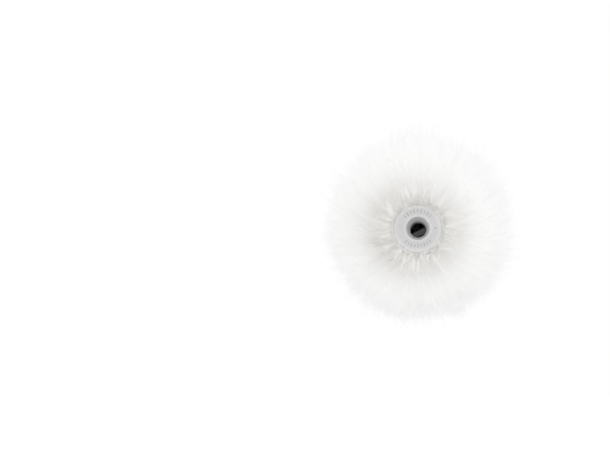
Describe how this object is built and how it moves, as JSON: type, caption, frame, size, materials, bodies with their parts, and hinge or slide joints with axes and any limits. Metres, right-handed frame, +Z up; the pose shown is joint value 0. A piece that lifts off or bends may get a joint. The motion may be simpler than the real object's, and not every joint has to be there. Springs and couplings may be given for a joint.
{
  "type": "furry microphone windscreen",
  "caption": "Ball-shaped furry windscreen with a flat base: a gored fur cover on a foam-lined cage, held on a small microphone by a plug-in silicone mount.",
  "frame": {"origin": "centre of the microphone bore at its outer end, where the lead-in meets the gripping wall", "axes": "-Y out of the microphone bore, towards the viewer of the mount; +Y into the ball towards its crown; +Z up"},
  "size_m": [0.061, 0.0515, 0.061],
  "materials": {
    "silicone": "satin moulded silicone",
    "eyelet_plastic": "matte",
    "cage_plastic": "matte",
    "foam": "open-cell foam",
    "fur": "long white pile",
    "thread": "twisted thread"
  },
  "bodies": {
    "mount": {"silicone_mount": "silicone"},
    "ball": {"neck_eyelet": "eyelet_plastic", "cage_base": "cage_plastic", "cage_dome": "cage_plastic", "foam_base": "foam", "foam_dome": "foam", "fur_panel_1": "fur", "fur_panel_2": "fur", "fur_panel_3": "fur", "fur_panel_4": "fur", "seam_thread_1": "thread", "seam_thread_2": "thread", "seam_thread_3": "thread", "seam_thread_4": "thread", "hem_drawcord": "thread"}
  },
  "joints": [
    {"name": "ball_pull_off", "type": "slide", "parent": "mount", "child": "ball", "axis": [0, 1, 0], "range_m": [0, 0.012]}
  ]
}
